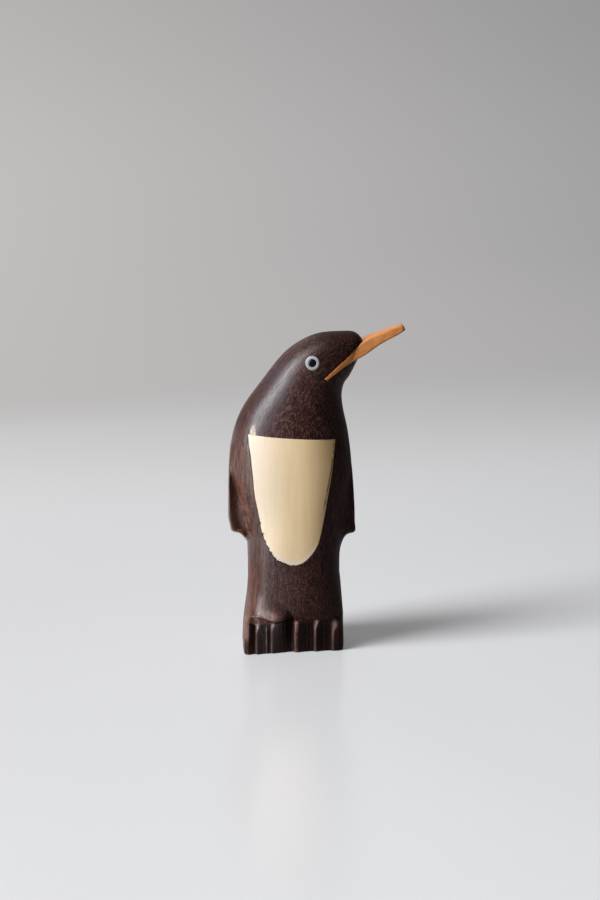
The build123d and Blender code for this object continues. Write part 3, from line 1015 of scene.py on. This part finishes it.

# %% Dark wood: painted sheen, painted shade, and wear
# The nape is rubbed to a polish, and a pale bluish painted sheen lies in its highlight band; painted shade
# darkens the side away from the window, and a little more the brow.
polish = behind_neck.below(-9.5, 3.8)
painted_sheen = polish * height.between(60.0, 68.0) * height.below(78.0, 86.0)
painted_sheen = painted_sheen * behind_neck.between(-14.5, -10.5) * behind_neck.below(-8.0, -4.5)
wood_colour = (painted_sheen * 0.45).tint(wood_colour, (0.062, 0.050, 0.064))
brow_shade = height.between(76.0, 86.0) * 0.18
wood_colour = (shaded_side * (0.45 + brow_shade)).tint(wood_colour, near_black)
# Painted shade in the toe cuts and on the toe fronts, read from the points.
cut_shade = place_mm.node("ShaderNodeAttribute", {"attribute_name": "cut_shade"}, None, "Fac")
wear_and_highlight = place_mm.node("ShaderNodeAttribute", {"attribute_name": "wear_and_highlight"}, None, "Fac")
wood_colour = (cut_shade.between(0.05, 0.7) * 0.78).tint(wood_colour, (0.009, 0.0042, 0.0033))
# Worn ridges and edges are paler; the same pale tint paints light on the lit toe walls, the gap's wall and a
# highlight on the swell.
patchy = place_mm.noise((0.9, 0.9, 0.6), 3.0, 0.6, shift=(9, 2, 27)).between(0.36, 0.62)
wood_colour = (wear_and_highlight * (0.22 + patchy * 0.58 + streak * 0.30)).tint(wood_colour, (0.34, 0.200, 0.158))

# %% Dark wood: the chip above the panel's corner
chip_base = 62.3
chip_x = -12.0
chip_slant = 0.12
chip_taper = 0.12
chip_rise = height - chip_base
chip_half_width = 0.85 - chip_rise * chip_taper
chip_ragged = grain.noise((1.3, 1.3, 0.6), 2.0, 0.6, shift=(3, 3, 9)) - 0.5
chip_across = (across - chip_x - chip_rise * chip_slant + chip_ragged) / chip_half_width
chip = chip_across.math("ABSOLUTE", chip_across).below(0.7, 1.15)
chip = chip * (1 - chip_rise.between(0.4, 3.2) * 0.75)
chip = chip * chip_rise.below(2.2, 3.0) * chip_rise.between(-0.6, -0.4)
chip = chip * inwards.below(-2.0, 0.0) * (0.55 + fibre * 0.45)
wood_colour = chip.tint(wood_colour, (0.62, 0.47, 0.38))
feed(dark_shader, "Base Color", wood_colour)

# %% Dark wood: clear coat
# The coat is thin on the low left edge and flank, on the crown and round the back of the neck.
low_edge = height.below(20.0, 32.0) * across.below(-12.6, -10.6)
dull_flank = height.below(22.0, 32.0) * height.between(14.0, 18.0) * across.below(-10.5, -7.0)
crown = height.between(79.0, 87.0)
back_of_neck = inwards.between(-8.0, -3.5) * height.between(60.0, 66.0)
for dull_place, loss in ((low_edge, 0.7), (dull_flank, 0.65), (crown, 0.5), (back_of_neck, 0.75)):
    polish = polish * (1 - dull_place * loss)
coat = polish * (1 - stroke * 0.40 - pore * 0.35) * (1 - cut_shade * 0.8)
feed(dark_shader, "Coat Weight", 0.03 + coat + wear_and_highlight * 0.3)
feed(dark_shader, "Roughness", 0.42 + stroke * 0.05 + pore * 0.10 + shaded_side * 0.15)
feed(dark_shader, "Normal", bump(fibre * 0.4 - pore * 0.6 + streak * 0.25, 0.05, 0.7))
dark_shader.inputs["Specular IOR Level"].default_value = 0.08
dark_shader.inputs["Coat Roughness"].default_value = 0.41
dark_shader.inputs["Coat IOR"].default_value = 1.62
dress(body, dark_wood)

# %% [markdown]
# ## Pale wood, beak wood and eyes
#
# The panel is a smooth cream wood with faint upright streaks and dark dust caught along its rim. The beak
# is an orange wood whose fibres run along it, so its pattern is turned to the slope of the beak. The eyes
# are a glossy white and a glossy blue-black.

# %% Pale wood: figure
pale_wood, pale_shader, place_mm = new_material("pale_wood")
across = place_mm.axis(0)
height = place_mm.axis(2)
pale_streak = place_mm.noise((0.55, 0.55, 0.018), 3.0, 0.5).between(0.35, 0.75)
pale_fibre = place_mm.noise((2.2, 2.2, 0.08), 3.0, 0.6).between(0.3, 0.7)
cloud = place_mm.noise((0.22, 0.22, 0.12), 3.0, 0.55, shift=(8, 2, 5)).between(0.35, 0.70)
fleck = place_mm.noise((2.6, 2.6, 0.9), 2.0, 0.6, shift=(2, 6, 1)).between(0.40, 0.70)
cream = (0.89, 0.77, 0.61)
straw = (0.97, 0.735, 0.42)
shaded_tan = (0.66, 0.425, 0.175)
# Painted light and painted shade: the panel is paler on the window side and a darker, warmer tan on the far
# side.
pale_colour = across.between(-13.0, 2.0).tint(cream, straw)
pale_colour = across.between(-1.0, 13.0).tint(pale_colour, shaded_tan)
pale_figure = pale_streak * 0.14 + pale_fibre * 0.10 + cloud * 0.07 + fleck * 0.06
pale_colour = pale_figure.tint(pale_colour, (0.66, 0.47, 0.26))
upper_left = height.between(46.0, 60.0) * across.below(-13.0, -7.0)
pale_colour = (upper_left * 0.35).tint(pale_colour, (0.66, 0.56, 0.43))
print("pale wood, nodes so far", len(pale_wood.node_tree.nodes))

# %% Pale wood: the rim
# A rubbed lower rim, dust in its bites on the left, and a broken scored line inside the right edge.
from_rim = place_mm.node("ShaderNodeAttribute", {"attribute_name": "rim_distance"}, None, "Fac")
rubbed_rim = from_rim.below(0.30, 1.60) * height.below(28.0, 34.0)
pale_colour = (rubbed_rim * 0.8).tint(pale_colour, (0.86, 0.79, 0.66))
speck = place_mm.noise((1.3, 1.3, 1.3), 2.0, 0.6, shift=(3, 9, 17)).between(0.50, 0.58)
dust = from_rim.below(0.20, 0.65) * speck * height.below(34.0, 42.0) * across.below(-3.0, 0.0)
pale_colour = (dust * 0.9).tint(pale_colour, (0.10, 0.06, 0.04))
right_edge = across.between(4.0, 6.0) * height.between(38.0, 44.0) * height.below(59.4, 59.8)
scored = from_rim.between(0.22, 0.40) * from_rim.below(0.65, 0.95) * right_edge
broken = place_mm.noise((0.9, 0.9, 0.35), 2.0, 0.6, shift=(1, 2, 3)).between(0.25, 0.45)
pale_colour = (scored * broken * 0.95).tint(pale_colour, (0.16, 0.09, 0.05))
feed(pale_shader, "Base Color", pale_colour)
feed(pale_shader, "Normal", bump(pale_fibre, 0.02, 0.3))
pale_shader.inputs["Roughness"].default_value = 0.5
dress(panel, pale_wood)

# %% Beak wood
beak_wood, beak_shader, place_mm = new_material("beak_wood")
beak_slope = math.radians(30.0)
across = place_mm.axis(0)
turn_inputs = {"Vector": place_mm, "Angle": beak_slope}
turned = place_mm.node("ShaderNodeVectorRotate", {"rotation_type": "Y_AXIS"}, turn_inputs)
beak_streak = turned.noise((0.06, 1.4, 1.4), 3.0, 0.55).between(0.3, 0.7)
beak_fibre = turned.noise((0.35, 4.5, 4.5), 2.0, 0.6).between(0.3, 0.7)
beak_colour = (beak_streak * 0.7 + beak_fibre * 0.3).tint((0.54, 0.185, 0.047), (0.70, 0.300, 0.105))
tip_x = beak_middle[-1, 0]
tip_dark = across.between(tip_x - 0.9, tip_x + 0.3)
# Painted light: the part of the beak inside the slot, whose side turns away from the window, is given a
# brighter orange.
slot_painted_light = across.below(12.0, 19.0)
beak_colour = (slot_painted_light * 0.75).tint(beak_colour, (0.86, 0.31, 0.080))
beak_colour = (tip_dark * 0.8).tint(beak_colour, (0.16, 0.06, 0.03))
feed(beak_shader, "Base Color", beak_colour)
beak_shader.inputs["Roughness"].default_value = 0.45
beak_shader.inputs["Specular IOR Level"].default_value = 0.3
feed(beak_shader, "Normal", bump(beak_fibre, 0.03, 0.3))
dress(beak, beak_wood)

# %% Eye finishes
eye_white, white_shader, place_mm = new_material("eye_white")
white_shader.inputs["Base Color"].default_value = (0.40, 0.395, 0.415, 1)
white_shader.inputs["Roughness"].default_value = 0.28
eye_black, black_shader, place_mm = new_material("eye_black")
black_shader.inputs["Base Color"].default_value = (0.004, 0.007, 0.011, 1)
black_shader.inputs["Roughness"].default_value = 0.20
for name, piece in eye_pieces.items():
    dress(piece, eye_white if name.endswith("ring") else eye_black)

# %% [markdown]
# ## Stage, light and camera
#
# The figure stands on a white table, far in front of a grey wall, lit by a window on the left. One swept
# sheet gives table and wall. Its near part is a white surface that takes the figure's shadow, with a faint
# painted glow for the camera and the table's sheen. Far behind, where a lens would blur the table into the
# wall, they see only the glow: painted light that goes softly from table to wall, lighter on the window side
# and darker up the wall. To light that bounces on to the figure the sheet is a mid grey, as in a larger,
# dimmer room.

# %% Table and wall
wall_depth_mm = 1500.0
sweep_radius = 300.0
sheet_half_width = 2600.0
table_front = -1500.0
wall_top = 2600.0
arc = np.linspace(0, math.pi / 2, 24)
sweep_depth = wall_depth_mm - sweep_radius + sweep_radius * np.sin(arc)
path_depth = np.concatenate(([table_front, 0.0], sweep_depth, [wall_depth_mm]))
path_height = np.concatenate(([0.0, 0.0], sweep_radius * (1 - np.cos(arc)), [wall_top]))
path_side = np.linspace(-sheet_half_width, sheet_half_width, 9)
sheet = np.stack(np.broadcast_arrays(path_side[None, :], path_depth[:, None], path_height[:, None]), axis=-1)
rows, columns, _ = sheet.shape
index = np.arange(rows * columns).reshape(rows, columns)
cells = np.stack((index[:-1, :-1], index[:-1, 1:], index[1:, 1:], index[1:, :-1]), axis=-1).reshape(-1, 4)
sheet_mesh = bpy.data.meshes.new("table and wall")
sheet_mesh.from_pydata((sheet.reshape(-1, 3) * MILLIMETRE).tolist(), [], cells.tolist())
sheet_mesh.shade_smooth()
table = add_object("table_and_wall", sheet_mesh)
print("table and wall", rows, "by", columns, "points")

# %% Paint of the table and the wall
stage_paint, stage_shader, place_mm = new_material("table_and_wall")
stage_shader.inputs["Roughness"].default_value = 0.22
stage_shader.inputs["Specular IOR Level"].default_value = 0.5
across, inwards, height = (place_mm.axis(k) for k in range(3))
rightwards = across.between(-500.0, 720.0)
table_fade = inwards.between(-100.0, 600.0)
table_left = table_fade.tint((0.90, 0.90, 0.915), (0.572, 0.567, 0.566))
table_right = table_fade.tint((0.62, 0.625, 0.64), (0.325, 0.325, 0.33))
wall_colour = rightwards.tint((0.579, 0.555, 0.550), (0.320, 0.318, 0.322))
wall_top_shade = height.between(40.0, 260.0) * 0.14
wall_colour = wall_top_shade.tint(wall_colour, (0, 0, 0))
horizon_slope = 0.50
behind = inwards - across * horizon_slope
far_tone = behind.between(400.0, 540.0).tint(rightwards.tint(table_left, table_right), wall_colour)
glow = place_mm.node("ShaderNodeEmission", None, {"Color": far_tone, "Strength": 1.0})
camera_ray = place_mm.node("ShaderNodeLightPath", None, None, "Is Camera Ray")
glossy_ray = place_mm.node("ShaderNodeLightPath", None, None, "Is Glossy Ray")
camera_or_mirror = camera_ray.math("MAXIMUM", camera_ray, glossy_ray)
paint_tone = across.between(-110.0, 10.0).tint((0.745, 0.75, 0.75), (0.825, 0.83, 0.83))
bounce_tone = (0.40, 0.40, 0.40)
feed(stage_shader, "Base Color", camera_or_mirror.tint(bounce_tone, paint_tone))
near_glow = 0.12
glow_share = (near_glow + behind.between(90.0, 360.0) * (1 - near_glow)) * camera_or_mirror
stage_tree = stage_paint.node_tree
surface = Pattern(stage_tree, stage_shader.outputs["BSDF"])
far_mix = place_mm.node("ShaderNodeMixShader", None, {0: glow_share, 1: surface, 2: glow})
stage_tree.links.new(far_mix.socket, stage_tree.nodes["Material Output"].inputs["Surface"])
dress(table, stage_paint)


# %% Lamps
def window(name, position, target, size, power, colour):
    """A soft rectangular lamp at a position, facing a target. Positions in millimetres, size in metres."""
    lamp = bpy.data.lights.new(name, "AREA")
    lamp.shape = "RECTANGLE"
    lamp.size, lamp.size_y = size
    lamp.energy = power
    lamp.color = colour
    holder = add_object(name, lamp)
    way = np.array(target) - np.array(position)
    distance = np.linalg.norm(way)
    turn_z = math.atan2(way[1], way[0]) - math.pi / 2
    turn_x = math.acos(-way[2] / distance)
    holder.rotation_euler = (turn_x, 0, turn_z)
    holder.location = np.array(position) * MILLIMETRE
    print(name, "lamp", round(distance), "mm away")


chest = (0.0, 0.0, 50.0)
window("window", (-1791.0, -809.0, 1478.0), chest, (1.00, 3.30), 115.0, (0.985, 0.99, 1.02))
window("rim", (-290.0, 940.0, 620.0), chest, (0.22, 0.22), 0.5, (1.0, 0.97, 0.93))
world = bpy.data.worlds.new("room")
world.use_nodes = True
room_light = world.node_tree.nodes["Background"]
room_light.inputs["Color"].default_value = (0.80, 0.84, 0.90, 1)
room_light.inputs["Strength"].default_value = 0.035
bpy.context.scene.world = world

# %% Camera
view_elevation = math.radians(10.0)
view_azimuth = math.radians(-4.0)
view_distance = 650.0
view_aim = np.array((1.943, 0.0, 56.0))
image_height_px = 900
focal_px = 2280.7
sensor_mm = 36.0
back = np.array((
    math.sin(view_azimuth) * math.cos(view_elevation),
    -math.cos(view_azimuth) * math.cos(view_elevation),
    math.sin(view_elevation),
))
camera_data = bpy.data.cameras.new("camera")
camera_data.sensor_fit = "VERTICAL"
camera_data.sensor_height = sensor_mm
camera_data.lens = focal_px / image_height_px * sensor_mm
camera = add_object("camera", camera_data)
camera.location = (view_aim + back * view_distance) * MILLIMETRE
camera.rotation_euler = (math.pi / 2 - view_elevation, 0, view_azimuth)
bpy.context.scene.camera = camera
bpy.context.scene.view_settings.view_transform = "Standard"
print("camera at", np.array(camera.location).round(4))

bpy.context.view_layer.update()
